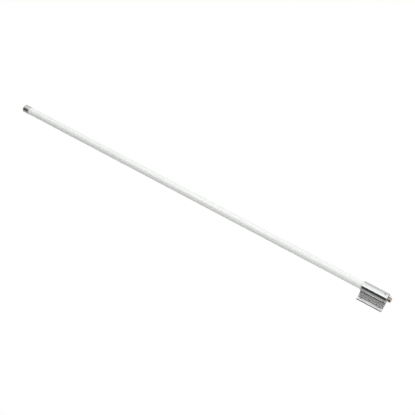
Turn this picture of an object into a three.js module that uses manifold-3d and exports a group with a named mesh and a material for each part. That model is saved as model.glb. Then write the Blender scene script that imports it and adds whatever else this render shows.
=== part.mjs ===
// Omnidirectional 2.4 GHz base-station antenna: a glass-fibre radome over a coaxial-collinear
// array, on an extruded aluminium mast bracket. Millimetres, +Z up.
//
// The frame's origin is the middle of the mast seat: x = 0 is the plane of symmetry, y = 0 the
// plane of the bracket's two back pads, with the mast at +Y, and z = 0 half-way up the bracket.
// The antenna's own axis is parallel to Z, in front of the seat.

import * as THREE from "three";
import { mergeVertices } from "three/addons/utils/BufferGeometryUtils.js";
import Module from "manifold-3d";

// ---------------------------------------------------------------- driving dimensions
const TOTAL_LENGTH = 1500; // connector face to top of the cap
const AXIS_TO_PADS = 31; // antenna axis to the plane of the back pads
const CONNECTOR_REACH = 12; // how far the connector stands out below the bracket

// The bracket's corners are [x, y] about the antenna's axis, for its +X half.
const BRACKET = {
  length: 86,
  sleeveRadius: 16.5,
  boreRadius: 13.3,
  legFoot: [21.6, 22.4], // where a leg's outer face ends
  legSlope: 1.8,
  filletRadius: 1.5, // in the corner between sleeve and leg
  step: [
    [23.4, 22.6],
    [24.5, 25],
  ], // the shoulder between a leg and its wing
  wingHalfWidth: 35.5,
  wingThickness: 6,
  edgeRadius: 1,
  grooveMouth: 24, // half-width of the V groove at the pads
  grooveSlope: 0.6,
  grooveFloor: 18.4,
  toothPitch: 2,
  toothDepth: 0.8,
  channel: [
    [13.2, 14.2],
    [18.8, 22.6],
    [18.8, 24.8],
    [8, 17.8],
  ], // the hollow that lightens each leg
};
const U_BOLT = { holeRadius: 3.4, halfSpacingX: 28.5, halfSpacingZ: 32 };
const SET_SCREW = { radius: 1.95, holeRadius: 2.1, length: 3.2, socketAcrossFlats: 2, socketDepth: 1.8 };

const RADOME = { outer: 13, inner: 10.5 };
const CAP = { outer: 14, inner: 13.15, length: 26, endThickness: 2.5, chamfer: 1.2, lip: 0.3 };
const SEAL_THICKNESS = 1;

const FERRULE = {
  outer: 12.95,
  spigot: 10.3,
  cavity: 8.6,
  throat: 5.1,
  chamfer: 0.8,
  grooveDepth: 0.5,
  grooveWidth: 4,
};
const JACK = {
  thread: 7.94,
  bore: 4.2,
  flange: 10,
  shank: 4.9,
  dielectric: 3.5,
  rearHole: 1.95,
  chamfer: 0.6,
  undercut: 1,
};
const CONTACT = {
  outer: 1.52,
  socket: 0.85,
  socketDepth: 7,
  slotWidth: 0.3,
  cup: 0.7, // the solder cup at its rear
  cupDepth: 4,
};
const NUT = { acrossFlats: 14, thickness: 3, hole: 5.1 };
const WASHER = { outer: 7.2, thickness: 1 };

const ARRAY = {
  count: 20, // half-wave sections
  tubeOuter: 4,
  tubeInner: 3.5,
  tubeLength: 58,
  gap: 5,
  start: 130, // bottom of the first section
  wireRadius: 0.6,
  wireStandOff: 1.2, // how far past a tube's end the wire turns off the axis
};
const FEED = { shieldOuter: 1.8, shieldInner: 1.5, core: 0.5, clearHole: 1.95 };
const CHOKE = { outer: 6, inner: 5.5, length: 30, floor: 2, belowArray: 8 };
const FOAM = { radius: 10.2, bore: 4.3, thickness: 12, sections: [2, 7, 12, 17] };
const CUSHION = { aboveArray: 3, length: 40 };
const FIT_GAP = 0.1; // clearance left where one piece is soldered, bonded or seated on another

const ROUND = 40; // sides of the large turned pieces
const SMALL_ROUND = 20; // sides of the small ones
const TUBE_SIDES = 12;
const WIRE_SIDES = 6;

// ---------------------------------------------------------------- heights worked out from these
const BRACKET_BOTTOM = -BRACKET.length / 2;
const JACK_FACE = BRACKET_BOTTOM - CONNECTOR_REACH;
const CAP_TOP = JACK_FACE + TOTAL_LENGTH;
const FLANGE_BOTTOM = BRACKET_BOTTOM - 1;
const FLANGE_TOP = FLANGE_BOTTOM + 2;
const FERRULE_BOTTOM = FLANGE_TOP + 1;
const FERRULE_FLOOR_TOP = FERRULE_BOTTOM + 12;
const SPIGOT_START = FERRULE_BOTTOM + 29;
const SPIGOT_TOP = SPIGOT_START + 30;
const SHANK_TOP = FERRULE_FLOOR_TOP + 6;
const DIELECTRIC_BOTTOM = JACK_FACE + 9.5;
const REAR_WALL = SHANK_TOP - 4;
const RADOME_BOTTOM = SPIGOT_START + 0.3;
const RADOME_TOP = CAP_TOP - CAP.endThickness - SEAL_THICKNESS - 0.2;
const SCREW_HEIGHT = BRACKET_BOTTOM + 11.5;

// ---------------------------------------------------------------- materials
function finish(color, roughness, metalness) {
  return new THREE.MeshStandardMaterial({ color, roughness, metalness });
}
const MATERIALS = {
  aluminium: finish(0xc4c6c7, 0.35, 1),
  glassFibre: finish(0xf1f2f0, 0.35, 0),
  nickel: finish(0xb9b8b2, 0.2, 1),
  connectorBrass: finish(0xb08a5a, 0.28, 1),
  brass: finish(0xc9a24e, 0.35, 1),
  copper: finish(0xc77b52, 0.35, 1),
  ptfe: finish(0xf4f4f0, 0.6, 0),
  foam: finish(0xe9e6dc, 0.95, 0),
  rubber: finish(0x1c1c1c, 0.85, 0),
  steel: finish(0x8f9296, 0.3, 1),
};

// ---------------------------------------------------------------- solid modelling helpers
const wasm = await Module();
wasm.setup();

// A closed three.js geometry as a manifold-3d solid.
function solidOf(geometry) {
  const bare = geometry.clone();
  bare.deleteAttribute("normal");
  bare.deleteAttribute("uv");
  const merged = mergeVertices(bare, 1e-4);
  return new wasm.Manifold(
    new wasm.Mesh({
      numProp: 3,
      vertProperties: new Float32Array(merged.attributes.position.array),
      triVerts: new Uint32Array(merged.index.array),
    }),
  );
}

// A manifold-3d solid as a three.js geometry.
function geometryOf(solid) {
  const mesh = solid.getMesh();
  const geometry = new THREE.BufferGeometry();
  geometry.setAttribute("position", new THREE.BufferAttribute(mesh.vertProperties, 3));
  geometry.setIndex(new THREE.BufferAttribute(mesh.triVerts, 1));
  return geometry;
}

// A piece turned about Z from a profile of [radius, z] corners. A profile that stays off the axis
// closes on itself, which makes a ring.
function turned(profile, sides = ROUND) {
  const points = profile.map(([radius, z]) => new THREE.Vector2(radius, z));
  if (THREE.ShapeUtils.area(points) < 0) points.reverse();
  const onAxis = points.findIndex((p) => p.x === 0);
  if (onAxis < 0) {
    points.push(points[0].clone());
  } else {
    while (!(points[0].x === 0 && points[points.length - 1].x === 0)) points.push(points.shift());
  }
  return new THREE.LatheGeometry(points, sides).rotateX(Math.PI / 2);
}

// A plain ring or tube, or a disc where inner is 0.
function ring(outer, inner, bottom, top, sides = ROUND) {
  return turned(
    [
      [inner, bottom],
      [outer, bottom],
      [outer, top],
      [inner, top],
    ],
    sides,
  );
}

// A rod between two points.
function rod(from, to, radius, sides = WIRE_SIDES) {
  const axis = new THREE.Vector3().subVectors(to, from);
  const middle = new THREE.Vector3().addVectors(from, to).multiplyScalar(0.5);
  const turn = new THREE.Quaternion().setFromUnitVectors(
    new THREE.Vector3(0, 1, 0),
    axis.clone().normalize(),
  );
  return new THREE.CylinderGeometry(radius, radius, axis.length(), sides)
    .applyQuaternion(turn)
    .translate(middle.x, middle.y, middle.z);
}

function place(parent, name, geometry, material) {
  const mesh = new THREE.Mesh(geometry, material);
  mesh.name = name;
  parent.add(mesh);
  return mesh;
}

// ---------------------------------------------------------------- mast bracket
// The extrusion's section, drawn about the antenna's axis with the mast at +Y: a round sleeve,
// two hollow legs that flare out to flat wings, and a toothed V groove between them for the mast.
function bracketSection() {
  const b = BRACKET;
  const ledge = AXIS_TO_PADS - b.wingThickness;
  const foot = new THREE.Vector2(...b.legFoot);
  const downLeg = new THREE.Vector2(1, b.legSlope).normalize();
  const offLeg = new THREE.Vector2(downLeg.y, -downLeg.x);

  // The fillet touches sleeve and leg, so its centre is one fillet off both.
  const base = foot.clone().addScaledVector(offLeg, b.filletRadius);
  const reach = b.sleeveRadius + b.filletRadius;
  const run = base.dot(downLeg);
  const back = run - Math.sqrt(run * run - base.lengthSq() + reach * reach);
  const centre = base.clone().addScaledVector(downLeg, -back);

  const half = new THREE.Path();
  half.absarc(0, 0, b.sleeveRadius, -Math.PI / 2, centre.angle(), false);
  const filletEnd = Math.atan2(-offLeg.y, -offLeg.x);
  half.absarc(centre.x, centre.y, b.filletRadius, centre.angle() + Math.PI, filletEnd, true);
  half.lineTo(foot.x, foot.y);
  for (const [x, y] of b.step) half.lineTo(x, y);
  const edge = b.wingHalfWidth - b.edgeRadius;
  half.absarc(edge, ledge + b.edgeRadius, b.edgeRadius, -Math.PI / 2, 0, false);
  half.absarc(edge, AXIS_TO_PADS - b.edgeRadius, b.edgeRadius, 0, Math.PI / 2, false);

  const right = [...half.getPoints(12), ...grooveFlank()];
  const left = right.filter((p) => Math.abs(p.x) > 1e-6).reverse();
  const outline = [...right, ...left.map((p) => new THREE.Vector2(-p.x, p.y))];
  return new THREE.Shape(outline.filter((p, i) => i === 0 || p.distanceTo(outline[i - 1]) > 1e-4));
}

// The V groove's +X flank, from its mouth at the pads in to its floor, with its gripping teeth.
function grooveFlank() {
  const b = BRACKET;
  const mouth = new THREE.Vector2(b.grooveMouth, AXIS_TO_PADS);
  const floorX = b.grooveMouth - (AXIS_TO_PADS - b.grooveFloor) / b.grooveSlope;
  const floor = new THREE.Vector2(floorX, b.grooveFloor);
  const inward = new THREE.Vector2().subVectors(floor, mouth).normalize();
  const intoMetal = new THREE.Vector2(-inward.y, inward.x);
  const margin = 1; // plain flank left at each end
  const count = Math.floor((mouth.distanceTo(floor) - 2 * margin) / b.toothPitch);
  const crestAt = (i) => mouth.clone().addScaledVector(inward, margin + i * b.toothPitch);
  const teeth = [crestAt(0)];
  for (let i = 1; i <= count; i++) {
    const root = crestAt(i - 0.5).addScaledVector(intoMetal, b.toothDepth);
    teeth.push(root, crestAt(i));
  }
  return [mouth, ...teeth, floor];
}

// A leg's hollow, on the side (+1 or -1) asked for.
function legChannel(side) {
  const corners = BRACKET.channel.map(([x, y]) => new THREE.Vector2(side * x, y));
  return new THREE.ExtrudeGeometry(new THREE.Shape(corners), {
    depth: BRACKET.length + 2,
    bevelEnabled: false,
  }).translate(0, 0, BRACKET_BOTTOM - 1);
}

function mastBracket() {
  const body = solidOf(
    new THREE.ExtrudeGeometry(bracketSection(), { depth: BRACKET.length, bevelEnabled: false })
      .translate(0, 0, BRACKET_BOTTOM),
  );
  const cuts = [
    ring(BRACKET.boreRadius, 0, BRACKET_BOTTOM - 1, 1 - BRACKET_BOTTOM),
    legChannel(1),
    legChannel(-1),
    rod(
      new THREE.Vector3(0, -BRACKET.sleeveRadius - 1, SCREW_HEIGHT),
      new THREE.Vector3(0, 0, SCREW_HEIGHT),
      SET_SCREW.holeRadius,
      SMALL_ROUND,
    ),
  ];
  for (const x of [-U_BOLT.halfSpacingX, U_BOLT.halfSpacingX]) {
    for (const z of [-U_BOLT.halfSpacingZ, U_BOLT.halfSpacingZ]) {
      cuts.push(
        rod(
          new THREE.Vector3(x, AXIS_TO_PADS - 2 * BRACKET.wingThickness, z),
          new THREE.Vector3(x, AXIS_TO_PADS + 1, z),
          U_BOLT.holeRadius,
          SMALL_ROUND,
        ),
      );
    }
  }
  return geometryOf(cuts.reduce((left, cut) => left.subtract(solidOf(cut)), body));
}

// A hexagon-socket grub screw, lying along Y with its socket to the front.
function setScrew() {
  const tip = -(FERRULE.outer + 3 * FIT_GAP);
  const head = tip - SET_SCREW.length;
  const at = (y) => new THREE.Vector3(0, y, SCREW_HEIGHT);
  const socketRadius = SET_SCREW.socketAcrossFlats / Math.sqrt(3);
  const shank = solidOf(rod(at(head), at(tip), SET_SCREW.radius, SMALL_ROUND));
  const socket = rod(at(head - 1), at(head + SET_SCREW.socketDepth), socketRadius, 6);
  return geometryOf(shank.subtract(solidOf(socket)));
}

// ---------------------------------------------------------------- radome and cap
function topCap() {
  const inside = CAP_TOP - CAP.endThickness;
  const skirt = CAP_TOP - CAP.length;
  return turned([
    [0, inside],
    [CAP.inner, inside],
    [CAP.inner, skirt],
    [CAP.outer - CAP.lip, skirt],
    [CAP.outer, skirt + CAP.lip],
    [CAP.outer, CAP_TOP - CAP.chamfer],
    [CAP.outer - CAP.chamfer, CAP_TOP],
    [0, CAP_TOP],
  ]);
}

// ---------------------------------------------------------------- base ferrule and connector
// The ferrule closes the radome's foot and holds the connector. Its spigot has two glue grooves.
function baseFerrule() {
  const f = FERRULE;
  const grooves = [SPIGOT_START + 7, SPIGOT_START + 18].flatMap((z) => [
    [f.spigot, z],
    [f.spigot - f.grooveDepth, z],
    [f.spigot - f.grooveDepth, z + f.grooveWidth],
    [f.spigot, z + f.grooveWidth],
  ]);
  return turned([
    [f.throat, FERRULE_BOTTOM],
    [f.outer - f.chamfer, FERRULE_BOTTOM],
    [f.outer, FERRULE_BOTTOM + f.chamfer],
    [f.outer, SPIGOT_START],
    [f.spigot, SPIGOT_START],
    ...grooves,
    [f.spigot, SPIGOT_TOP],
    [f.cavity, SPIGOT_TOP],
    [f.cavity, FERRULE_FLOOR_TOP],
    [f.throat, FERRULE_FLOOR_TOP],
  ]);
}

// The jack's body: threaded nose, undercut, flange and rear shank, bored for the dielectric.
function jackBody() {
  const j = JACK;
  return turned(
    [
      [j.bore + j.chamfer, JACK_FACE],
      [j.thread - j.chamfer, JACK_FACE],
      [j.thread, JACK_FACE + j.chamfer],
      [j.thread, FLANGE_BOTTOM - j.undercut],
      [j.thread - j.undercut, FLANGE_BOTTOM - j.undercut / 2],
      [j.thread - j.undercut, FLANGE_BOTTOM],
      [j.flange, FLANGE_BOTTOM],
      [j.flange, FLANGE_TOP],
      [j.shank, FLANGE_TOP],
      [j.shank, SHANK_TOP],
      [j.rearHole, SHANK_TOP],
      [j.rearHole, REAR_WALL],
      [j.dielectric, REAR_WALL],
      [j.dielectric, DIELECTRIC_BOTTOM],
      [j.bore, DIELECTRIC_BOTTOM],
      [j.bore, JACK_FACE + j.chamfer],
    ],
    32,
  );
}

// The centre contact: a slotted socket at the mating end and a solder cup at the rear.
function jackContact() {
  const c = CONTACT;
  const tip = JACK_FACE + 1.5;
  const end = REAR_WALL - 1.5;
  const body = solidOf(
    turned(
      [
        [0, tip + c.socketDepth],
        [c.socket, tip + c.socketDepth],
        [c.socket, tip],
        [c.outer - 0.25, tip],
        [c.outer, tip + 0.4],
        [c.outer, end],
        [c.cup, end],
        [c.cup, end - c.cupDepth],
        [0, end - c.cupDepth],
      ],
      16,
    ),
  );
  const slots = [0, Math.PI / 2].map((angle) =>
    solidOf(
      new THREE.BoxGeometry(4 * c.outer, c.slotWidth, 2 * (c.socketDepth - 1))
        .rotateZ(angle)
        .translate(0, 0, tip),
    ),
  );
  return geometryOf(slots.reduce((left, slot) => left.subtract(slot), body));
}

function jackNut() {
  const corner = NUT.acrossFlats / Math.sqrt(3);
  const bottom = FERRULE_FLOOR_TOP + WASHER.thickness + 2 * FIT_GAP;
  const top = bottom + NUT.thickness;
  const hexagon = ring(corner, 0, bottom, top, 6);
  const hole = ring(NUT.hole, 0, bottom - 1, top + 1, SMALL_ROUND);
  return geometryOf(solidOf(hexagon).subtract(solidOf(hole)));
}

// ---------------------------------------------------------------- collinear array
// Each half-wave section is a brass tube with a wire down its middle. At every gap the wire of
// one section is soldered to the tube of the next, and the other way round, which keeps all the
// tubes in phase. Wires turn off to +X at their top and to -X at their foot.
function sectionBottom(index) {
  return ARRAY.start + index * (ARRAY.tubeLength + ARRAY.gap);
}

function arrayTube(index) {
  const bottom = sectionBottom(index);
  const top = bottom + ARRAY.tubeLength;
  if (index > 0) return ring(ARRAY.tubeOuter, ARRAY.tubeInner, bottom, top, TUBE_SIDES);
  const endWall = 2; // the first tube's end is closed round the feed cable
  return turned(
    [
      [FEED.clearHole, bottom],
      [ARRAY.tubeOuter, bottom],
      [ARRAY.tubeOuter, top],
      [ARRAY.tubeInner, top],
      [ARRAY.tubeInner, bottom + endWall],
      [FEED.clearHole, bottom + endWall],
    ],
    TUBE_SIDES,
  );
}

function arrayWire(index) {
  const bottom = sectionBottom(index);
  const top = bottom + ARRAY.tubeLength;
  const rim = (ARRAY.tubeOuter + ARRAY.tubeInner) / 2;
  const last = index === ARRAY.count - 1;
  const upperTurn = top + ARRAY.wireStandOff;
  const upperEnd = last ? top + FIT_GAP : top + ARRAY.gap - FIT_GAP;
  const points = [
    [0, upperTurn],
    [rim, upperTurn],
    [rim, upperEnd],
  ];
  if (index === 0) {
    points.unshift([0, bottom + 4]);
  } else {
    const lowerTurn = bottom - ARRAY.wireStandOff;
    points.unshift([-rim, bottom - ARRAY.gap + FIT_GAP], [-rim, lowerTurn], [0, lowerTurn]);
  }
  return geometryOf(bentWire(points.map(([x, z]) => new THREE.Vector3(x, 0, z))));
}

// A wire bent sharply at each point but the first and last.
function bentWire(points) {
  const r = ARRAY.wireRadius;
  const stretches = points.slice(1).map((to, i) => {
    const from = points[i];
    const step = new THREE.Vector3().subVectors(to, from).normalize().multiplyScalar(r);
    const start = i === 0 ? from : from.clone().sub(step);
    const end = i === points.length - 2 ? to : to.clone().add(step);
    return solidOf(rod(start, end, r));
  });
  return stretches.reduce((whole, stretch) => whole.add(stretch));
}

// The quarter-wave choke round the feed cable: a cup, shorted to the cable at its foot.
function chokeSleeve() {
  const top = ARRAY.start - CHOKE.belowArray;
  const bottom = top - CHOKE.length;
  return turned(
    [
      [FEED.clearHole, bottom],
      [CHOKE.outer, bottom],
      [CHOKE.outer, top],
      [CHOKE.inner, top],
      [CHOKE.inner, bottom + CHOKE.floor],
      [FEED.clearHole, bottom + CHOKE.floor],
    ],
    SMALL_ROUND,
  );
}

// ---------------------------------------------------------------- assembly
const assembly = new THREE.Group();
const antenna = new THREE.Group(); // everything drawn about the antenna's own axis
antenna.position.y = -AXIS_TO_PADS;
assembly.add(antenna);

place(antenna, "mast_bracket", mastBracket(), MATERIALS.aluminium);
place(antenna, "set_screw", setScrew(), MATERIALS.steel);

place(
  antenna,
  "radome_tube",
  ring(RADOME.outer, RADOME.inner, RADOME_BOTTOM, RADOME_TOP),
  MATERIALS.glassFibre,
);
place(antenna, "top_cap", topCap(), MATERIALS.nickel);
place(
  antenna,
  "top_cap_seal",
  ring(RADOME.outer - 0.1, RADOME.inner, RADOME_TOP + FIT_GAP, RADOME_TOP + FIT_GAP + SEAL_THICKNESS),
  MATERIALS.rubber,
);

place(antenna, "base_ferrule", baseFerrule(), MATERIALS.aluminium);
place(antenna, "connector_body", jackBody(), MATERIALS.connectorBrass);
place(
  antenna,
  "connector_gasket",
  ring(9.2, FERRULE.throat, FLANGE_TOP + FIT_GAP / 2, FERRULE_BOTTOM - FIT_GAP / 2, SMALL_ROUND),
  MATERIALS.rubber,
);
place(
  antenna,
  "connector_insulator",
  ring(JACK.dielectric - 0.15, 1.65, DIELECTRIC_BOTTOM, REAR_WALL - 3, SMALL_ROUND),
  MATERIALS.ptfe,
);
place(antenna, "connector_contact", jackContact(), MATERIALS.connectorBrass);
place(
  antenna,
  "connector_lock_washer",
  ring(
    WASHER.outer,
    NUT.hole,
    FERRULE_FLOOR_TOP + FIT_GAP,
    FERRULE_FLOOR_TOP + FIT_GAP + WASHER.thickness,
    SMALL_ROUND,
  ),
  MATERIALS.steel,
);
place(antenna, "connector_nut", jackNut(), MATERIALS.steel);

place(
  antenna,
  "feed_cable_shield",
  ring(FEED.shieldOuter, FEED.shieldInner, REAR_WALL + 0.5, ARRAY.start + 3, 12),
  MATERIALS.copper,
);
place(
  antenna,
  "feed_cable_core",
  rod(
    new THREE.Vector3(0, 0, REAR_WALL - 5),
    new THREE.Vector3(0, 0, ARRAY.start + 4 - FIT_GAP),
    FEED.core,
    8,
  ),
  MATERIALS.copper,
);
place(antenna, "choke_sleeve", chokeSleeve(), MATERIALS.brass);

for (let i = 0; i < ARRAY.count; i++) {
  const number = String(i + 1).padStart(2, "0");
  place(antenna, `array_tube_${number}`, arrayTube(i), MATERIALS.brass);
  place(antenna, `array_wire_${number}`, arrayWire(i), MATERIALS.copper);
}

FOAM.sections.forEach((section, i) => {
  const middle = sectionBottom(section) + ARRAY.tubeLength / 2;
  place(
    antenna,
    `foam_spacer_${i + 1}`,
    ring(FOAM.radius, FOAM.bore, middle - FOAM.thickness / 2, middle + FOAM.thickness / 2, SMALL_ROUND),
    MATERIALS.foam,
  );
});
const arrayTop = sectionBottom(ARRAY.count) - ARRAY.gap;
place(
  antenna,
  "top_cushion",
  ring(
    FOAM.radius,
    0,
    arrayTop + CUSHION.aboveArray,
    arrayTop + CUSHION.aboveArray + CUSHION.length,
    SMALL_ROUND,
  ),
  MATERIALS.foam,
);

export default assembly;
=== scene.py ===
"""Omnidirectional base-station antenna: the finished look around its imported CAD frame."""

import math

import bmesh
import bpy
from mathutils import Matrix, Vector
from mathutils.geometry import tessellate_polygon


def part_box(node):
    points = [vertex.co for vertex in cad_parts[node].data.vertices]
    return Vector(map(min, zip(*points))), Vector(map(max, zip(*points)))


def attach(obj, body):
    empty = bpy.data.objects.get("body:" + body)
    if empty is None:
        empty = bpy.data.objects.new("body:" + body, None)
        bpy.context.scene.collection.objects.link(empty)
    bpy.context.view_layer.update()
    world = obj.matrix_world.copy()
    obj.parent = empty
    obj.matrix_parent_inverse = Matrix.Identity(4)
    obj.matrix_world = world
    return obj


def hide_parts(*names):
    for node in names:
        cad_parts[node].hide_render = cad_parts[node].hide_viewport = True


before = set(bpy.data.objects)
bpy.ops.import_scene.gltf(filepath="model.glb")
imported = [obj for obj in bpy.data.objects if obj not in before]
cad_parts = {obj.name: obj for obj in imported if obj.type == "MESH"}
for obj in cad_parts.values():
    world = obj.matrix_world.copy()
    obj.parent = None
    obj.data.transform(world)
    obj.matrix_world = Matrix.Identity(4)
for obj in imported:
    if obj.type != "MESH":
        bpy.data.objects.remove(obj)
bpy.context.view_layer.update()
MM = 0.001
TURN = 2 * math.pi

# ---------------------------------------------------------------- places, read from the frame
radome_low, radome_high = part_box("radome_tube")
cap_low, cap_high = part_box("top_cap")
bracket_low, bracket_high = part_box("mast_bracket")
jack_low, jack_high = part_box("connector_body")
ferrule_low, ferrule_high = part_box("base_ferrule")
screw_low, screw_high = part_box("set_screw")
insulator_low, insulator_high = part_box("connector_insulator")
gasket_low, gasket_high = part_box("connector_gasket")

AXIS_Y = (radome_low.y + radome_high.y) / 2
PADS_Y = bracket_high.y
SCREW_Z = (screw_low.z + screw_high.z) / 2

# ---------------------------------------------------------------- bracket sizes
# The extrusion's corners, in millimetres about the antenna's axis, for its +X half.
SLEEVE_RADIUS = 16.5
BORE_RADIUS = 13.3
FILLET = 1.5
LEG_FOOT = Vector((21.6, 22.4))
LEG_SLOPE = 1.8
STEP_CORNERS = [(23.4, 22.6), (24.5, 25.0)]
WING_HALF_WIDTH = 35.5
WING_THICKNESS = 6
WING_EDGE = 1.0
GROOVE_MOUTH = 24
GROOVE_SLOPE = 0.6
GROOVE_FLOOR = 18.4
TOOTH_PITCH = 2
TOOTH_DEPTH = 0.8
CHANNEL = [(13.2, 14.2), (18.8, 22.6), (18.8, 24.8), (8.0, 17.8)]
U_BOLT_X = 28.5
U_BOLT_Z = 32
U_BOLT_RADIUS = 3.4
U_BOLT_FLARE = 0.55  # how far a U-bolt hole opens out at both its mouths
SCREW_HOLE_RADIUS = 2.1
SCREW_HOLE_FLARE = 0.95
SCREW_HOLE_REACH = 6
END_CHAMFER = 0.25
OUTLINE_ROUNDING = 0.3
CHANNEL_ROUNDING = 0.6
PADS = (PADS_Y - AXIS_Y) / MM

# ---------------------------------------------------------------- camera
# The antenna lies across the picture, cap at the far upper left and jack at the near lower right.
CAMERA_LENS = 76.65
CAMERA_SENSOR = 36
CAMERA_DISTANCE = 2.988
CAMERA_SIDE = math.radians(54.5)  # round the antenna's axis, from -X towards -Y
CAMERA_TILT = math.radians(21.24)  # how far the camera sits towards the jack's end
CAMERA_ROLL = math.radians(27.82)
CAMERA_AIM = Vector((0, AXIS_Y, 0.70))
AIM_RIGHT = 0.058
AIM_UP = -0.042

side_on = Vector((-math.cos(CAMERA_SIDE), -math.sin(CAMERA_SIDE), 0))
side_down = Vector((-math.sin(CAMERA_SIDE), math.cos(CAMERA_SIDE), 0))


def add_camera():
    back = side_on * math.cos(CAMERA_TILT) + Vector((0, 0, -math.sin(CAMERA_TILT)))
    level_right = Vector((0, 0, -1))
    level_right = (level_right - back * level_right.dot(back)).normalized()
    level_up = back.cross(level_right)
    right = level_right * math.cos(CAMERA_ROLL) + level_up * math.sin(CAMERA_ROLL)
    up = level_up * math.cos(CAMERA_ROLL) - level_right * math.sin(CAMERA_ROLL)
    data = bpy.data.cameras.new("camera")
    data.lens = CAMERA_LENS
    data.sensor_width = CAMERA_SENSOR
    data.clip_start = 0.01
    data.clip_end = 100
    camera = bpy.data.objects.new("camera", data)
    bpy.context.scene.collection.objects.link(camera)
    place = CAMERA_AIM + back * CAMERA_DISTANCE + right * AIM_RIGHT + up * AIM_UP
    turn = Matrix((right, up, back)).transposed()
    camera.matrix_world = Matrix.Translation(place) @ turn.to_4x4()
    bpy.context.scene.camera = camera


add_camera()


# ---------------------------------------------------------------- node helpers
class Nodes:
    """A short way to write one node tree."""

    def __init__(self, tree):
        self.tree = tree

    def add(self, kind, inputs=None, **settings):
        node = self.tree.nodes.new("ShaderNode" + kind)
        for key, value in settings.items():
            setattr(node, key, value)
        for key, value in (inputs or {}).items():
            self.put(node.inputs[key], value)
        return node

    def put(self, socket, value):
        if isinstance(value, bpy.types.NodeSocket):
            self.tree.links.new(value, socket)
        else:
            socket.default_value = value

    def math(self, operation, a, b=0.0, c=0.0):
        node = self.add("Math", operation=operation)
        for socket, value in zip(node.inputs, (a, b, c)):
            self.put(socket, value)
        return node.outputs[0]

    def ramp(self, factor, stops):
        node = self.add("ValToRGB", {"Fac": factor})
        elements = node.color_ramp.elements
        while len(elements) < len(stops):
            elements.new(0.5)
        for element, (place, value) in zip(elements, stops):
            element.position = place
            colour = value if isinstance(value, tuple) else (value, value, value)
            element.color = (*colour, 1)
        return node.outputs["Color"]

    def mix(self, factor, a, b, blend="MIX"):
        node = self.add("Mix", data_type="RGBA", blend_type=blend)
        self.put(node.inputs["Factor"], factor)
        self.put(node.inputs[6], a)
        self.put(node.inputs[7], b)
        return node.outputs[2]

    def place(self, scale):
        """Object coordinates, stretched by scale along each axis."""
        where = self.add("TexCoord").outputs["Object"]
        return self.add("Mapping", {"Vector": where, "Scale": scale}).outputs["Vector"]

    def noise(self, scale, detail=2.0, roughness=0.5, distortion=0.0):
        """Noise whose cells are 1/scale metres along each axis."""
        return self.add(
            "TexNoise",
            {
                "Vector": self.place(scale),
                "Scale": 1.0,
                "Detail": detail,
                "Roughness": roughness,
                "Distortion": distortion,
            },
        ).outputs["Fac"]

    def distance(self, point, centre):
        return self.add("VectorMath", {0: point, 1: centre}, operation="DISTANCE").outputs["Value"]

    def above(self, value, limit):
        return self.math("GREATER_THAN", value, limit)

    def below(self, value, limit):
        return self.math("LESS_THAN", value, limit)

    def all_of(self, first, *rest):
        for value in rest:
            first = self.math("MULTIPLY", first, value)
        return first

    def span(self, value, low, high, low_in=0.0, high_in=1.0):
        return self.add(
            "MapRange",
            {
                "Value": value,
                "From Min": low_in,
                "From Max": high_in,
                "To Min": low,
                "To Max": high,
            },
        ).outputs["Result"]

    def bump(self, height, distance, strength=1.0, normal=None):
        inputs = {"Height": height, "Distance": distance, "Strength": strength}
        if normal is not None:
            inputs["Normal"] = normal
        return self.add("Bump", inputs).outputs["Normal"]


def new_material(name, metallic=0.0):
    """A material with one Principled shader; returns it, its node helper and its shader."""
    material = bpy.data.materials.new(name)
    material.use_nodes = True
    material.node_tree.nodes.clear()
    nodes = Nodes(material.node_tree)
    shader = nodes.add("BsdfPrincipled", {"Metallic": metallic})
    output = nodes.add("OutputMaterial")
    nodes.tree.links.new(shader.outputs["BSDF"], output.inputs["Surface"])
    return material, nodes, shader


def tint(colour, factor):
    return (*(c * factor for c in colour), 1)


# ---------------------------------------------------------------- materials
def gel_coat():
    """The radome's white gel coat: nearly flat, with the glass roving faintly printed through."""
    material, n, shader = new_material("gel_coat")
    white = (0.885, 0.90, 0.885)
    cloudy = n.noise((9, 9, 4), detail=3)
    colour = n.mix(cloudy, tint(white, 0.965), tint(white, 1.02))
    dust = n.noise((160, 160, 110), detail=3, roughness=0.6)
    colour = n.mix(n.span(dust, 0.0, 0.06, 0.55, 0.8), colour, (0.66, 0.65, 0.61, 1))
    n.put(shader.inputs["Base Color"], colour)
    smears = n.noise((60, 60, 12), detail=4, roughness=0.6)
    n.put(shader.inputs["Roughness"], n.span(smears, 0.30, 0.44, 0.3, 0.7))
    roving = n.noise((900, 900, 14), detail=3, roughness=0.6)
    ripple = n.bump(roving, 0.00002, 0.4)
    orange_peel = n.noise((260, 260, 260), detail=2)
    n.put(shader.inputs["Normal"], n.bump(orange_peel, 0.00003, 0.4, ripple))
    shader.inputs["Coat Weight"].default_value = 0.25
    shader.inputs["Coat Roughness"].default_value = 0.12
    return material


def polished_nickel():
    """The cap's bright plate, with fine turning lines, wiping haze and a few hairline scratches."""
    material, n, shader = new_material("polished_nickel", metallic=1.0)
    plate = (0.66, 0.655, 0.635)
    haze = n.noise((70, 70, 70), detail=4, roughness=0.65)
    n.put(shader.inputs["Base Color"], n.mix(haze, tint(plate, 0.93), tint(plate, 1.05)))
    n.put(shader.inputs["Roughness"], n.span(haze, 0.06, 0.13, 0.35, 0.65))
    turning = n.noise((40, 40, 5200), detail=2)
    lines = n.bump(turning, 0.000002, 0.4)
    scratches = n.noise((1500, 260, 500), detail=5, roughness=0.75, distortion=0.6)
    n.put(shader.inputs["Normal"], n.bump(scratches, 0.000003, 0.4, lines))
    return material


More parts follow.
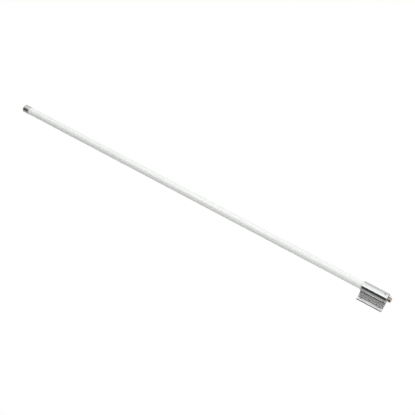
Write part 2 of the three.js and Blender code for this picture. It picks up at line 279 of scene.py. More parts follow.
CREASE = (14.1, 8.8)  # where the sleeve runs into each hollow leg
CREASE_SHADE = (1.2 * MM, 3.2 * MM)  # distances from the crease over which its painted shade thins out
DULL_LEDGE_START = 26.5
LEG_REACH = 22  # the legs' flanks end before this distance from the middle plane
OFF_SLEEVE = 0.6
HOLE_RIM = 0.25
# Painted shade: its reach round the set screw's hole, and how strongly it darkens the cut ends and
# the holes' walls.
SCREW_SHADE_RADIUS = 2.6
END_PAINTED_SHADE = 0.7
HOLE_SHADE = 0.75
END_DULLNESS = 0.18
LEG_DULLNESS = 0.26
LEDGE_DULLNESS = 0.30


def extruded_aluminium():
    """Clear-anodised extrusion: die lines along Z on its length and saw marks on its cut ends. The
    legs and the nut ledges are duller than the sleeve, and painted shade darkens the cut ends, the
    creases and the holes' walls."""
    material, n, shader = new_material("extruded_aluminium", metallic=1.0)
    metal = (0.84, 0.85, 0.855)
    die_lines = n.noise((2600, 2600, 6), detail=3, roughness=0.7)
    broad_lines = n.noise((420, 420, 3), detail=2)
    blotches = n.noise((110, 110, 60), detail=4, roughness=0.6)

    where = n.add("SeparateXYZ", {"Vector": n.place((1, 1, 1))}).outputs
    facing = n.add("SeparateXYZ", {"Vector": n.add("NewGeometry").outputs["Normal"]}).outputs
    half_x = n.math("ABSOLUTE", where["X"])
    half_z = n.math("ABSOLUTE", where["Z"])
    section = n.add("CombineXYZ", {"X": half_x, "Y": where["Y"]}).outputs[0]
    plan = n.add("CombineXYZ", {"X": half_x, "Z": half_z}).outputs[0]
    front = n.add("CombineXYZ", {"X": where["X"], "Z": where["Z"]}).outputs[0]
    to_axis = n.distance(section, (0, AXIS_Y, 0))
    to_crease = n.distance(section, (CREASE[0] * MM, AXIS_Y + CREASE[1] * MM, 0))
    to_bolt = n.distance(plan, (U_BOLT_X * MM, 0, U_BOLT_Z * MM))
    to_screw = n.distance(front, (0, 0, SCREW_Z))

    on_end = n.above(n.math("ABSOLUTE", facing["Z"]), 0.8)
    on_leg = n.all_of(
        n.above(n.math("ABSOLUTE", facing["X"]), 0.7),
        n.above(to_axis, (SLEEVE_RADIUS + OFF_SLEEVE) * MM),
        n.below(half_x, LEG_REACH * MM),
    )
    on_ledge = n.all_of(n.below(facing["Y"], -0.95), n.above(half_x, DULL_LEDGE_START * MM))
    in_bolt_hole = n.below(to_bolt, (U_BOLT_RADIUS + HOLE_RIM) * MM)
    in_screw_hole = n.all_of(
        n.below(to_screw, SCREW_SHADE_RADIUS * MM),
        n.above(facing["Y"], -0.9),
        n.below(where["Y"], AXIS_Y),
    )

    tone = n.math("MULTIPLY_ADD", die_lines, 0.5, n.math("MULTIPLY", broad_lines, 0.5))
    colour = n.mix(n.span(tone, 0, 1, 0.3, 0.7), tint(metal, 0.90), tint(metal, 1.04))
    colour = n.mix(n.span(blotches, 0, 0.35, 0.55, 0.75), colour, (0.66, 0.67, 0.67, 1))
    # Painted shade: the cut ends, found by their facing, are darkened towards near-black.
    colour = n.mix(n.math("MULTIPLY", on_end, END_PAINTED_SHADE), colour, (0.12, 0.12, 0.125, 1))
    # Painted shade: the walls of the U-bolt and set-screw holes are darkened towards near-black.
    in_hole = n.math("MAXIMUM", in_bolt_hole, in_screw_hole)
    # Painted shade: the crease beside each leg is darkened towards near-black.
    crease_shade = n.span(to_crease, 0.85, 0.0, *CREASE_SHADE)
    painted_shade = n.math("MAXIMUM", crease_shade, n.math("MULTIPLY", in_hole, HOLE_SHADE))
    n.put(shader.inputs["Base Color"], n.mix(painted_shade, colour, (0.05, 0.05, 0.05, 1)))

    rough = n.span(broad_lines, 0.11, 0.18, 0.35, 0.65)
    rough = n.math("ADD", rough, n.span(blotches, 0, 0.06))
    for place, more in ((on_end, END_DULLNESS), (on_leg, LEG_DULLNESS), (on_ledge, LEDGE_DULLNESS)):
        rough = n.math("MULTIPLY_ADD", place, more, rough)
    n.put(shader.inputs["Roughness"], rough)

    saw_marks = n.noise((90, 2400, 90), detail=3, roughness=0.65)
    sides = n.math("MULTIPLY", tone, n.math("SUBTRACT", 1.0, on_end))
    height = n.math("MULTIPLY_ADD", saw_marks, n.math("MULTIPLY", on_end, 2.5), sides)
    n.put(shader.inputs["Normal"], n.bump(height, 0.000006, 0.6))
    return material


def turned_metal(name, colour, rough, mark_scale=4200, groove_shade=None):
    """Lathe-turned metal with fine rings round Z and some handling haze. groove_shade is three radii
    about the antenna's axis, for a thread: painted shade in its grooves starts at the first and thins
    out between the others."""
    material, n, shader = new_material(name, metallic=1.0)
    haze = n.noise((220, 220, 220), detail=4, roughness=0.65)
    tone = n.mix(haze, tint(colour, 0.86), tint(colour, 1.08))
    if groove_shade:
        # Painted shade: the thread's grooves are darkened nearly to black.
        to_axis = n.distance(n.place((1, 1, 0)), (0, AXIS_Y, 0))
        painted_shade = n.all_of(n.above(to_axis, groove_shade[0]), n.span(to_axis, 0.9, 0.0, *groove_shade[1:]))
        tone = n.mix(painted_shade, tone, tint(colour, 0.05))
    n.put(shader.inputs["Base Color"], tone)
    n.put(shader.inputs["Roughness"], n.span(haze, rough * 0.75, rough * 1.3, 0.3, 0.7))
    rings = n.noise((60, 60, mark_scale), detail=2)
    n.put(shader.inputs["Normal"], n.bump(rings, 0.000004, 0.4))
    return material


def drawn_metal(name, colour, rough, tarnish):
    """Drawn tube or wire: fine lines along Z, with patches of tarnish."""
    material, n, shader = new_material(name, metallic=1.0)
    patches = n.noise((160, 160, 55), detail=5, roughness=0.65)
    fresh = n.mix(patches, tint(colour, 0.9), tint(colour, 1.08))
    stain = n.span(patches, 0.0, 0.6, 0.5, 0.72)
    n.put(shader.inputs["Base Color"], n.mix(stain, fresh, (*tarnish, 1)))
    n.put(shader.inputs["Roughness"], n.span(patches, rough * 0.8, rough * 1.6, 0.3, 0.75))
    lines = n.noise((3800, 3800, 30), detail=2)
    n.put(shader.inputs["Normal"], n.bump(lines, 0.00002, 0.3))
    return material


def blackened_steel():
    """The set screw's black oxide, worn to bare steel in places."""
    material, n, shader = new_material("blackened_steel", metallic=1.0)
    wear = n.noise((900, 900, 900), detail=4, roughness=0.7)
    worn = n.span(wear, 0.0, 0.8, 0.58, 0.7)
    n.put(shader.inputs["Base Color"], n.mix(worn, (0.045, 0.045, 0.05, 1), (0.4, 0.4, 0.41, 1)))
    n.put(shader.inputs["Roughness"], n.span(wear, 0.32, 0.5))
    n.put(shader.inputs["Normal"], n.bump(wear, 0.00003, 0.4))
    return material


def moulded_rubber():
    material, n, shader = new_material("moulded_rubber")
    bloom = n.noise((500, 500, 500), detail=4, roughness=0.65)
    n.put(shader.inputs["Base Color"], n.mix(bloom, (0.018, 0.018, 0.018, 1), (0.05, 0.05, 0.048, 1)))
    n.put(shader.inputs["Roughness"], n.span(bloom, 0.62, 0.85))
    n.put(shader.inputs["Normal"], n.bump(bloom, 0.00005, 0.4))
    return material


def machined_ptfe():
    material, n, shader = new_material("machined_ptfe")
    milky = n.noise((300, 300, 300), detail=3)
    n.put(shader.inputs["Base Color"], n.mix(milky, (0.84, 0.84, 0.81, 1), (0.92, 0.92, 0.90, 1)))
    n.put(shader.inputs["Roughness"], n.span(milky, 0.38, 0.52))
    rings = n.noise((40, 40, 3000), detail=2)
    n.put(shader.inputs["Normal"], n.bump(rings, 0.00003, 0.3))
    shader.inputs["Subsurface Weight"].default_value = 0.1
    shader.inputs["Subsurface Radius"].default_value = (0.001, 0.001, 0.001)
    return material


def cell_foam():
    """Closed-cell polyethylene foam."""
    material, n, shader = new_material("cell_foam")
    where = n.place((1, 1, 1))
    cells = n.add("TexVoronoi", {"Vector": where, "Scale": 1400.0}).outputs["Distance"]
    patches = n.noise((120, 120, 120), detail=3)
    colour = n.mix(patches, (0.80, 0.78, 0.72, 1), (0.88, 0.87, 0.82, 1))
    walls = n.span(cells, 0.0, 0.35, 0.3, 0.8)
    n.put(shader.inputs["Base Color"], n.mix(walls, colour, (0.6, 0.58, 0.52, 1)))
    n.put(shader.inputs["Roughness"], n.span(patches, 0.85, 0.98))
    n.put(shader.inputs["Normal"], n.bump(cells, 0.0002, 0.6))
    return material


# Painted shade in the jack's thread grooves: the radii where it starts and thins out.
JACK_GROOVE_SHADE = (7.5 * MM, 7.82 * MM, 7.925 * MM)

MATERIALS = {
    "gel_coat": gel_coat(),
    "nickel": polished_nickel(),
    "extrusion": extruded_aluminium(),
    "turned_aluminium": turned_metal("turned_aluminium", (0.80, 0.81, 0.82), 0.28),
    "jack_plate": turned_metal("jack_plate", (0.71, 0.62, 0.54), 0.10, groove_shade=JACK_GROOVE_SHADE),
    "contact_gold": turned_metal("contact_gold", (0.95, 0.73, 0.36), 0.18),
    "brass": drawn_metal("drawn_brass", (0.86, 0.66, 0.32), 0.24, (0.42, 0.27, 0.12)),
    "copper": drawn_metal("drawn_copper", (0.90, 0.50, 0.34), 0.24, (0.34, 0.15, 0.09)),
    "steel": turned_metal("zinc_steel", (0.58, 0.59, 0.60), 0.34, 900),
    "black_steel": blackened_steel(),
    "rubber": moulded_rubber(),
    "ptfe": machined_ptfe(),
    "foam": cell_foam(),
}


# ---------------------------------------------------------------- mesh helpers
SHARP_ANGLE = math.radians(28)
ROUND_STEPS = 4
TURNED_SIDES = 96


def finish_mesh(mesh, material):
    mesh.validate()
    for polygon in mesh.polygons:
        polygon.use_smooth = True
    mesh.set_sharp_from_angle(angle=SHARP_ANGLE)
    mesh.materials.clear()
    mesh.materials.append(material)


def add_piece(name, mesh, material, body, stands_for):
    finish_mesh(mesh, material)
    piece = bpy.data.objects.new(name, mesh)
    bpy.context.scene.collection.objects.link(piece)
    apply_modifier(piece, "WEIGHTED_NORMAL", keep_sharp=True)
    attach(piece, body)
    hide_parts(stands_for)
    return piece


def apply_modifier(piece, kind, **settings):
    modifier = piece.modifiers.new(kind.lower(), kind)
    for key, value in settings.items():
        setattr(modifier, key, value)
    with bpy.context.temp_override(object=piece, active_object=piece):
        bpy.ops.object.modifier_apply(modifier=modifier.name)


def bend(start, corner, end, steps):
    """Points on a curve from start to end that is drawn towards corner."""
    places = [k / steps for k in range(steps + 1)]
    return [start * (1 - t) ** 2 + corner * 2 * t * (1 - t) + end * t**2 for t in places]


def rounded(profile, radius, steps=ROUND_STEPS):
    """Rounds the corners of a closed [radius, z] profile. A corner with a third value keeps that
    radius instead; 0 leaves it sharp."""
    points = []
    count = len(profile)
    for i, corner in enumerate(profile):
        here = Vector(corner[:2])
        size = corner[2] if len(corner) > 2 else radius
        before = Vector(profile[i - 1][:2]) - here
        after = Vector(profile[(i + 1) % count][:2]) - here
        size = min(size, before.length * 0.45, after.length * 0.45)
        if size <= 0 or corner[0] == 0:
            points.append(here)
            continue
        start = here + before.normalized() * size
        end = here + after.normalized() * size
        points += bend(start, here, end, steps)
    return points


def lathe(profile, sides, centre_y, shift=None):
    """A closed solid turned about the antenna's axis, from a closed [radius, z] profile in metres.
    shift(point, angle) may add to a point's radius."""
    mesh = bpy.data.meshes.new("lathe")
    bm = bmesh.new()
    rows = []
    for point in profile:
        if point[0] == 0:
            rows.append([bm.verts.new((0, centre_y, point[1]))])
            continue
        row = []
        for k in range(sides):
            angle = TURN * k / sides
            r = point[0] + (shift(point, angle) if shift else 0)
            row.append(bm.verts.new((r * math.cos(angle), centre_y + r * math.sin(angle), point[1])))
        rows.append(row)
    for a, b in zip(rows, rows[1:] + rows[:1]):
        for k in range(sides):
            corners = [a[k % len(a)], a[(k + 1) % len(a)], b[(k + 1) % len(b)], b[k % len(b)]]
            corners = [v for i, v in enumerate(corners) if v not in corners[:i]]
            if len(corners) > 2:
                bm.faces.new(corners)
    bmesh.ops.recalc_face_normals(bm, faces=bm.faces)
    bm.to_mesh(mesh)
    bm.free()
    return mesh


def thread_wave(pitch, depth, low, high, run_out, least):
    """How far a right-hand thread cuts in below its crest, as a lathe shift. Points nearer the axis
    than least stay."""

    def shift(point, angle):
        radius, z = point
        if z < low or z > high or radius < least:
            return 0
        phase = (z / pitch - angle / TURN) % 1
        wave = min(1, max(0, 6 * abs(phase - 0.5) - 0.15))
        fade = min(1, (z - low) / run_out, (high - z) / run_out)
        return -depth * (1 - wave) * max(0, fade)

    return shift


def steps_between(a, b, step):
    count = max(1, round(abs(b - a) / step))
    return [a + (b - a) * i / count for i in range(1, count)]


# ---------------------------------------------------------------- radome and cap
RADOME_SIDES = 128
RADOME_RADIUS = radome_high.x
RADOME_BORE = 10.5 * MM
CAP_BORE = 13.15 * MM
CAP_CROWN = 2.5 * MM
CAP_RIM_HEIGHT = 2.2 * MM
CAP_RIM_RISE = 0.15 * MM
CAP_SHOULDER = 1.6 * MM


def build_radome():
    edge = 0.4 * MM
    z0, z1 = radome_low.z, radome_high.z
    outside = [(RADOME_RADIUS, z) for z in steps_between(z0, z1, 60 * MM)]
    inside = [(RADOME_BORE, z) for z in reversed(steps_between(z0, z1, 60 * MM))]
    corners = rounded(
        [(RADOME_BORE, z0), (RADOME_RADIUS, z0), (RADOME_RADIUS, z1), (RADOME_BORE, z1)], edge
    )
    half = len(corners) // 2
    profile = [*corners[:half], *outside, *corners[half:], *inside]
    mesh = lathe(profile, RADOME_SIDES, AXIS_Y)
    return add_piece(
        "radome_skin", mesh, MATERIALS["gel_coat"], "antenna", "radome_tube"
    )


def build_cap():
    """A drawn cup with a slightly swollen rim and softly rounded shoulder."""
    outer = cap_high.x
    wall = outer - CAP_RIM_RISE
    z0, z1 = cap_low.z, cap_high.z
    rim_top = z0 + CAP_RIM_HEIGHT
    profile = rounded(
        [
            (0, z1 - CAP_CROWN),
            (CAP_BORE, z1 - CAP_CROWN, 0.6 * MM),
            (CAP_BORE, z0, 0.2 * MM),
            (outer, z0, 0.45 * MM),
            (outer, rim_top, 0.2 * MM),
            (wall, rim_top + 0.3 * MM, 0.3 * MM),
            (wall, z1, CAP_SHOULDER),
            (0, z1),
        ],
        0.3 * MM,
        steps=8,
    )
    mesh = lathe(profile, RADOME_SIDES, AXIS_Y)
    return add_piece("cap_shell", mesh, MATERIALS["nickel"], "antenna", "top_cap")


build_radome()
build_cap()

# ---------------------------------------------------------------- ferrule and jack
CABLE_HOLE = 5.1 * MM
FERRULE_BODY = 29 * MM
FERRULE_FLOOR = 12 * MM
SPIGOT_RADIUS = 10.3 * MM
SPIGOT_BORE = 8.6 * MM
GLUE_GROOVE_RADIUS = 9.8 * MM
GLUE_GROOVE_WIDTH = 4 * MM
GLUE_GROOVE_STARTS = (7 * MM, 18 * MM)  # above the ferrule's shoulder
JACK_PITCH = 25.4 * MM / 24
JACK_DEPTH = 0.35 * MM
JACK_CREST = 7.94 * MM
JACK_UNDERCUT = 6.94 * MM
JACK_FLANGE_DROP = 1 * MM  # how far the flange's front stands below the sleeve
JACK_FLANGE_THICKNESS = 2 * MM
JACK_FLANGE_RADIUS = 10 * MM
JACK_MOUTH_RADIUS = 4.2 * MM
JACK_MOUTH_DEPTH = 9.5 * MM
JACK_SEAT_RADIUS = 3.5 * MM
JACK_TAIL_RADIUS = 4.9 * MM
JACK_TAIL_BORE = 1.95 * MM
JACK_TAIL_FLOOR = 4 * MM
INSULATOR_BORE = 1.65 * MM
INSULATOR_RADIUS = 3.35 * MM
INSULATOR_SIDES = 64


def build_ferrule():
    outer = ferrule_high.x
    z0, z1 = ferrule_low.z, ferrule_high.z
    shoulder = z0 + FERRULE_BODY
    grooves = []
    for start in GLUE_GROOVE_STARTS:
        z = shoulder + start
        grooves += [(SPIGOT_RADIUS, z), (GLUE_GROOVE_RADIUS, z)]
        z += GLUE_GROOVE_WIDTH
        grooves += [(GLUE_GROOVE_RADIUS, z), (SPIGOT_RADIUS, z)]
    profile = rounded(
        [
            (CABLE_HOLE, z0),
            (outer, z0, 1.1 * MM),
            (outer, shoulder, 0.25 * MM),
            (SPIGOT_RADIUS, shoulder),
            *grooves,
            (SPIGOT_RADIUS, z1),
            (SPIGOT_BORE, z1),
            (SPIGOT_BORE, z0 + FERRULE_FLOOR),
            (CABLE_HOLE, z0 + FERRULE_FLOOR),
        ],
        0.2 * MM,
    )
    mesh = lathe(profile, TURNED_SIDES, AXIS_Y)
    return add_piece(
        "ferrule_turning",
        mesh,
        MATERIALS["turned_aluminium"],
        "antenna",
        "base_ferrule",
    )


def build_jack():
    face = jack_low.z
    flange_low = bracket_low.z - JACK_FLANGE_DROP
    flange_high = flange_low + JACK_FLANGE_THICKNESS
    low, high = face + 0.9 * MM, flange_low - 1.1 * MM
    thread = [(JACK_CREST, z) for z in steps_between(low, high, JACK_PITCH / 12)]
    nose = [
        (JACK_MOUTH_RADIUS, face + 0.6 * MM),
        (4.8 * MM, face, 0.15 * MM),
        (7.3 * MM, face, 0.15 * MM),
        (JACK_CREST, face + 0.7 * MM, 0.1 * MM),
    ]
    rear = [
        (JACK_CREST, flange_low - 1 * MM, 0.1 * MM),
        (JACK_UNDERCUT, flange_low - 0.5 * MM, 0.1 * MM),
        (JACK_UNDERCUT, flange_low, 0.1 * MM),
        (JACK_FLANGE_RADIUS, flange_low, 0.3 * MM),
        (JACK_FLANGE_RADIUS, flange_high, 0.3 * MM),
        (JACK_TAIL_RADIUS, flange_high, 0.1 * MM),
        (JACK_TAIL_RADIUS, jack_high.z, 0.2 * MM),
        (JACK_TAIL_BORE, jack_high.z, 0.1 * MM),
        (JACK_TAIL_BORE, jack_high.z - JACK_TAIL_FLOOR, 0.1 * MM),
        (JACK_SEAT_RADIUS, jack_high.z - JACK_TAIL_FLOOR, 0.1 * MM),
        (JACK_SEAT_RADIUS, face + JACK_MOUTH_DEPTH, 0.1 * MM),
        (JACK_MOUTH_RADIUS, face + JACK_MOUTH_DEPTH, 0.1 * MM),
    ]
    corners = rounded([*nose, *rear], 0.1 * MM)
    after_nose = (ROUND_STEPS + 1) * len(nose)
    profile = [*corners[:after_nose], *thread, *corners[after_nose:]]
    shift = thread_wave(JACK_PITCH, JACK_DEPTH, low, high, JACK_PITCH, 7 * MM)
    mesh = lathe(profile, TURNED_SIDES, AXIS_Y, shift)
    return add_piece(
        "jack_shell", mesh, MATERIALS["jack_plate"], "antenna", "connector_body"
    )


def build_jack_inside():
    insulator = lathe(
        rounded(
            [
                (INSULATOR_BORE, insulator_low.z),
                (INSULATOR_RADIUS, insulator_low.z),
                (INSULATOR_RADIUS, insulator_high.z),
                (INSULATOR_BORE, insulator_high.z),
            ],
            0.25 * MM,
        ),
        INSULATOR_SIDES,
        AXIS_Y,
    )
    add_piece(
        "jack_dielectric", insulator, MATERIALS["ptfe"], "antenna", "connector_insulator"
    )
    gasket = lathe(
        rounded(
            [
                (CABLE_HOLE, gasket_low.z),
                (gasket_high.x, gasket_low.z),
                (gasket_high.x, gasket_high.z),
                (CABLE_HOLE, gasket_high.z),
            ],
            0.35 * MM,
        ),
        TURNED_SIDES,
        AXIS_Y,
    )
    add_piece("jack_gasket", gasket, MATERIALS["rubber"], "antenna", "connector_gasket")


build_ferrule()
build_jack()
build_jack_inside()

# ---------------------------------------------------------------- set screw
SCREW_RADIUS = 1.95 * MM
SCREW_PITCH = 0.7 * MM
SCREW_THREAD_DEPTH = 0.28 * MM
SCREW_TIP_RADIUS = 0.7 * MM
SCREW_SIDES = 72
HEX_FLATS = 2
HEX_DEPTH = 1.8 * MM
HEX_TURNED = 0.92  # the socket is turned round at this share of its corners, then made a hexagon


def build_set_screw():
    """A grub screw modelled upright and then laid along Y, socket to the front."""
    length = screw_high.y - screw_low.y
    socket = HEX_FLATS / math.sqrt(3) * MM
    body = [
        (0, HEX_DEPTH - 0.45 * MM),
        (socket * HEX_TURNED, HEX_DEPTH, 0.05 * MM),
        (socket * HEX_TURNED, 0, 0.08 * MM),
        (1.6 * MM, 0, 0.08 * MM),
        (SCREW_RADIUS, 0.35 * MM, 0.05 * MM),
        (SCREW_RADIUS, length - 0.5 * MM, 0.05 * MM),
        (1.2 * MM, length, 0.08 * MM),
        (SCREW_TIP_RADIUS, length, 0.08 * MM),
        (0, length - 0.4 * MM),
    ]
    corners = rounded(body, 0.05 * MM)
    after_front = 1 + 4 * (ROUND_STEPS + 1)
    thread = [(SCREW_RADIUS, z) for z in steps_between(0.4 * MM, length - 0.55 * MM, SCREW_PITCH / 8)]
    profile = [*corners[:after_front], *thread, *corners[after_front:]]
    cut = thread_wave(
        SCREW_PITCH, SCREW_THREAD_DEPTH, 0.3 * MM, length - 0.4 * MM, SCREW_PITCH / 2, 1.6 * MM
    )

    def shift(point, angle):
        if point[0] < 1.2 * MM and point[1] < 1.9 * MM:
            sector = (angle % (TURN / 6)) - TURN / 12
            across = math.cos(TURN / 12) / math.cos(sector)
            return point[0] * (across / HEX_TURNED - 1)
        return cut(point, angle)

    mesh = lathe(profile, SCREW_SIDES, 0, shift)
    lay = Matrix.Rotation(-math.pi / 2, 4, "X")
    mesh.transform(Matrix.Translation((0, screw_low.y, SCREW_Z)) @ lay)
    return add_piece("grub_screw", mesh, MATERIALS["black_steel"], "clamp_screw", "set_screw")


build_set_screw()

# ---------------------------------------------------------------- mast bracket
BORE_SIDES = 120
HOLE_SIDES = 48
CORNER_TURN = math.radians(14)  # the least turn of an outline that counts as a corner
TOOTH_MARGIN = 1


def arc(centre, radius, start, end, steps):
    return [
        centre + Vector((math.cos(a), math.sin(a))) * radius
        for a in (start + (end - start) * i / steps for i in range(steps + 1))
    ]


def soften(points, radius, steps=3):
    """Rounds every corner of a closed outline that turns by more than the arcs do."""
    out = []
    for i, here in enumerate(points):
        before = points[i - 1] - here
        after = points[(i + 1) % len(points)] - here
        turn = math.pi - before.angle(after)
        size = min(radius, before.length * 0.42, after.length * 0.42)
        if turn < CORNER_TURN:
            out.append(here)
            continue
        start = here + before.normalized() * size
        end = here + after.normalized() * size
        out += bend(start, here, end, steps)
    return out


def spaced(points, least=0.02):
    """Drops each point of a closed outline that lies on the one before it, as where arcs meet."""
    return [here for i, here in enumerate(points) if (here - points[i - 1]).length > least]


def bracket_outline():
    down_leg = Vector((1, LEG_SLOPE)).normalized()
    off_leg = Vector((down_leg.y, -down_leg.x))
    base = LEG_FOOT + off_leg * FILLET
    run = base.dot(down_leg)
    reach = SLEEVE_RADIUS + FILLET
    centre = base - down_leg * (run - math.sqrt(run * run - base.length_squared + reach * reach))
    leave = math.atan2(centre.y, centre.x)
    meet = math.atan2(-off_leg.y, -off_leg.x)
    if meet < 0:
        meet += TURN
    ledge = PADS - WING_THICKNESS
    edge = WING_HALF_WIDTH - WING_EDGE
    right = arc(Vector((0, 0)), SLEEVE_RADIUS, -math.pi / 2, leave, 44)
    right += arc(centre, FILLET, leave + math.pi, meet, 8)
    right += [LEG_FOOT, *(Vector(c) for c in STEP_CORNERS)]
    right += arc(Vector((edge, ledge + WING_EDGE)), WING_EDGE, -math.pi / 2, 0, 8)
    right += arc(Vector((edge, PADS - WING_EDGE)), WING_EDGE, 0, math.pi / 2, 8)
    right += groove_flank()
    left = [Vector((-p.x, p.y)) for p in reversed(right) if abs(p.x) > 1e-6]
    return spaced(soften(spaced(right + left), OUTLINE_ROUNDING))


def groove_flank():
    mouth = Vector((GROOVE_MOUTH, PADS))
    floor = Vector((GROOVE_MOUTH - (PADS - GROOVE_FLOOR) / GROOVE_SLOPE, GROOVE_FLOOR))
    inward = (floor - mouth).normalized()
    into_metal = Vector((-inward.y, inward.x))
    count = int(((mouth - floor).length - 2 * TOOTH_MARGIN) / TOOTH_PITCH)
    flank = [mouth]
    for i in range(count + 1):
        if i > 0:
            root = mouth + inward * (TOOTH_MARGIN + (i - 0.5) * TOOTH_PITCH)
            flank.append(root + into_metal * TOOTH_DEPTH)
        flank.append(mouth + inward * (TOOTH_MARGIN + i * TOOTH_PITCH))
    return [*flank, floor]


def inset(points, amount):
    """Moves a closed outline to the left of its direction by amount at every corner."""
    out = []
    for i, here in enumerate(points):
        a = (here - points[i - 1]).normalized()
        b = (points[(i + 1) % len(points)] - here).normalized()
        normal = Vector((-a.y - b.y, a.x + b.x))
        length = normal.length
        if length < 1e-6:
            out.append(here.copy())
            continue
        out.append(here + normal / length * min(amount / (length / 2), amount * 1.6))
    return out


def extrusion(outline, holes, low, high, chamfer):
    """Extrudes an outline with holes along Z, with a small chamfer round both ends."""
    mesh = bpy.data.meshes.new("extrusion")
    bm = bmesh.new()
    loops = [outline, *holes]
    levels = [
        (low, chamfer),
        (low + chamfer, 0),
        *((z, 0) for z in steps_between(low + chamfer, high - chamfer, 9)),
        (high - chamfer, 0),
        (high, chamfer),
    ]
    rings = []
    for z, cut in levels:
        level = []
        for loop in loops:
            points = inset(loop, cut) if cut else loop
            level.append([bm.verts.new((p.x * MM, AXIS_Y + p.y * MM, z * MM)) for p in points])
        rings.append(level)
    for lower, upper in zip(rings, rings[1:]):
        for a, b in zip(lower, upper):
            for k in range(len(a)):
                j = (k + 1) % len(a)
                bm.faces.new((a[k], a[j], b[j], b[k]))
    for level in (rings[0], rings[-1]):
        flat = [v for ring in level for v in ring]
        for triangle in tessellate_polygon([[v.co.copy() for v in ring] for ring in level]):
            bm.faces.new([flat[i] for i in triangle])
    bmesh.ops.recalc_face_normals(bm, faces=bm.faces)
    bm.to_mesh(mesh)
    bm.free()
    return mesh


def cutter(start, direction, profile, sides):
    """A solid turned about direction from start, used to cut a hole. profile is [radius, height]."""
    points = [(0, profile[0][1]), *profile, (0, profile[-1][1])]
    mesh = lathe([(r * MM, h * MM) for r, h in points], sides, 0)
    turn = Vector((0, 0, 1)).rotation_difference(direction).to_matrix().to_4x4()
    mesh.transform(Matrix.Translation(start) @ turn)
    tool = bpy.data.objects.new("cutter", mesh)
    bpy.context.scene.collection.objects.link(tool)
    return tool


def build_bracket():
    bore = list(reversed(arc(Vector((0, 0)), BORE_RADIUS, 0, TURN, BORE_SIDES)[:-1]))
    right = soften([Vector(c) for c in reversed(CHANNEL)], CHANNEL_ROUNDING)
    left = [Vector((-p.x, p.y)) for p in reversed(right)]
    low, high = bracket_low.z / MM, bracket_high.z / MM
    mesh = extrusion(bracket_outline(), [bore, right, left], low, high, END_CHAMFER)
    piece = bpy.data.objects.new("bracket_extrusion", mesh)
    bpy.context.scene.collection.objects.link(piece)
    ledge_y = PADS_Y - WING_THICKNESS * MM
    backwards = Vector((0, 1, 0))
    tools = []
    for x in (-U_BOLT_X, U_BOLT_X):
        for z in (-U_BOLT_Z, U_BOLT_Z):
            r, t = U_BOLT_RADIUS, WING_THICKNESS
            mouth = r + U_BOLT_FLARE
            hole = [(mouth, -0.3), (r, 0.25), (r, t - 0.25), (mouth, t + 0.3)]
            tools.append(cutter(Vector((x * MM, ledge_y, z * MM)), backwards, hole, HOLE_SIDES))
    r = SCREW_HOLE_RADIUS
    hole = [(r + SCREW_HOLE_FLARE, -0.65), (r, 0.3), (r, SCREW_HOLE_REACH)]
    front = Vector((0, AXIS_Y - SLEEVE_RADIUS * MM, SCREW_Z))
    tools.append(cutter(front, backwards, hole, HOLE_SIDES))
    for tool in tools:
        apply_modifier(piece, "BOOLEAN", operation="DIFFERENCE", solver="EXACT", object=tool)
        bpy.data.objects.remove(tool)
    final = piece.data.copy()
    bpy.data.objects.remove(piece)
    return add_piece(
        "bracket_extrusion",
        final,
        MATERIALS["extrusion"],
        "bracket",
        "mast_bracket",
    )


build_bracket()

# ---------------------------------------------------------------- carried-over CAD nodes
CARRIED = {
    "top_cap_seal": "rubber",
    "connector_contact": "contact_gold",
    "connector_lock_washer": "steel",
    "connector_nut": "steel",
    "feed_cable_shield": "copper",
    "feed_cable_core": "copper",
    "choke_sleeve": "brass",
    "top_cushion": "foam",
    "array_tube": "brass",
    "array_wire": "copper",
    "foam_spacer": "foam",
}
for name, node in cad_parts.items():
    for start, material in CARRIED.items():
        if name.startswith(start):
            node.data.materials.clear()
            node.data.materials.append(MATERIALS[material])

# ---------------------------------------------------------------- studio
# The antenna's studio is a set of long soft lights and dark cards standing round its axis, drawn
# in the world by their bearing from the camera's side: negative is above it in the picture.
DARK_CARD = (0.034, 0.034, 0.027)
STRIPS_LOW = [
    (-180, 0.60),
    (-131, 0.60),
    (-93, 0.70),
    (-66, 0.84),
    (-42, 0.94),
    (-21, 1.10),
    (2, 1.22),
    (8, DARK_CARD),
    (58, DARK_CARD),
    (66, (0.38, 0.38, 0.35)),
    (82, (0.42, 0.42, 0.39)),
    (98, 0.33),
    (107, 0.15),
    (118, 0.15),
    (132, 0.42),
    (150, 0.50),
    (180, 0.60),
]
STRIPS_HIGH = [
    (-180, 0.60),
    (-104, 0.58),
    (-78, 1.02),
    (-50, 1.12),
    (-34, 0.66),
    (0, 0.48),
    (14, DARK_CARD),
    (42, DARK_CARD),
    (63, 0.32),
    (95, 0.44),
    (130, 0.60),
    (180, 0.60),
]
STRIPS_CHANGE = (0.30, 0.50)  # heights of direction between which the low strips give way to the high
OVERHEAD_LIGHT = 1.32
KEY_LIGHT = 3.42
KEY_BEARINGS = (-100, -75, -5, 15)
KEY_HEIGHTS = (0.25, 0.31, 0.43, 0.50)
OVERHEAD_HEIGHTS = (0.62, 0.76)
UNDER_FLOOR_HEIGHTS = (-0.17, -0.15)
CAMERA_WHITE = 1.0


def trapezium(places):
    """Ramp stops that rise from 0 to 1 and fall back again."""
    return list(zip(places, (0, 1, 1, 0)))


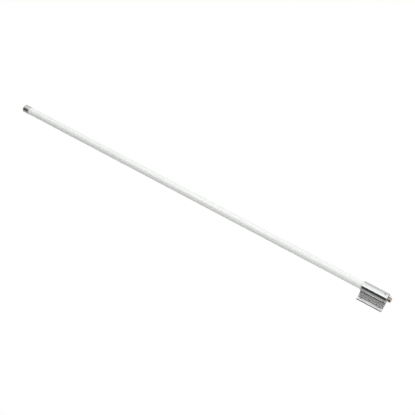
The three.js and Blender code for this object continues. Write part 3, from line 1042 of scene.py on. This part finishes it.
def add_studio():
    world = bpy.data.worlds.new("studio")
    bpy.context.scene.world = world
    world.use_nodes = True
    world.node_tree.nodes.clear()
    n = Nodes(world.node_tree)
    direction = n.add("TexCoord").outputs["Generated"]
    along = n.add("VectorMath", {0: direction, 1: side_on}, operation="DOT_PRODUCT").outputs["Value"]
    down = n.add("VectorMath", {0: direction, 1: side_down}, operation="DOT_PRODUCT").outputs["Value"]
    height = n.add("SeparateXYZ", {"Vector": direction}).outputs["Z"]
    bearing = n.math("MULTIPLY_ADD", n.math("ARCTAN2", down, along), 1 / TURN, 0.5)
    low, high = (
        n.ramp(bearing, [((degrees + 180) / 360, level) for degrees, level in strips])
        for strips in (STRIPS_LOW, STRIPS_HIGH)
    )
    band = n.mix(n.span(height, 0.0, 1.0, *STRIPS_CHANGE), low, high)
    key_round = n.ramp(bearing, trapezium([(d + 180) / 360 for d in KEY_BEARINGS]))
    key = n.math("MULTIPLY", key_round, n.ramp(height, trapezium(KEY_HEIGHTS)))
    band = n.mix(key, band, (KEY_LIGHT, KEY_LIGHT, KEY_LIGHT, 1))
    overhead = n.span(height, 0.0, 1.0, *OVERHEAD_HEIGHTS)
    light = n.mix(overhead, band, (OVERHEAD_LIGHT, OVERHEAD_LIGHT, OVERHEAD_LIGHT, 1))
    under_floor = n.span(height, 1.0, 0.0, *UNDER_FLOOR_HEIGHTS)
    light = n.mix(under_floor, light, (0, 0, 0, 1))
    seen = n.add("LightPath").outputs["Is Camera Ray"]
    shown = n.mix(seen, light, (CAMERA_WHITE, CAMERA_WHITE, CAMERA_WHITE, 1))
    background = n.add("Background", {"Color": shown})
    output = n.add("OutputWorld")
    n.tree.links.new(background.outputs[0], output.inputs["Surface"])
    bpy.context.scene.view_settings.view_transform = "Standard"


FLOOR_Z = -1.3
FLOOR_RADIUS = 9
FLOOR_FADE = (5.0, 8.5)  # distances from the antenna over which the floor fades into white


def add_floor():
    material, n, shader = new_material("studio_floor")
    grain = n.noise((3, 3, 3), detail=2)
    n.put(shader.inputs["Base Color"], n.mix(grain, (0.90, 0.90, 0.90, 1), (0.92, 0.92, 0.92, 1)))
    shader.inputs["Roughness"].default_value = 0.9
    from_middle = n.distance(n.place((1, 1, 0)), (0, 0, 0))
    n.put(shader.inputs["Alpha"], n.span(from_middle, 1.0, 0.0, *FLOOR_FADE))
    bpy.ops.mesh.primitive_circle_add(
        vertices=128, radius=FLOOR_RADIUS, fill_type="NGON", location=(0, 0, FLOOR_Z)
    )
    floor = bpy.context.object
    floor.name = "studio_floor"
    floor.data.materials.append(material)


add_studio()
add_floor()
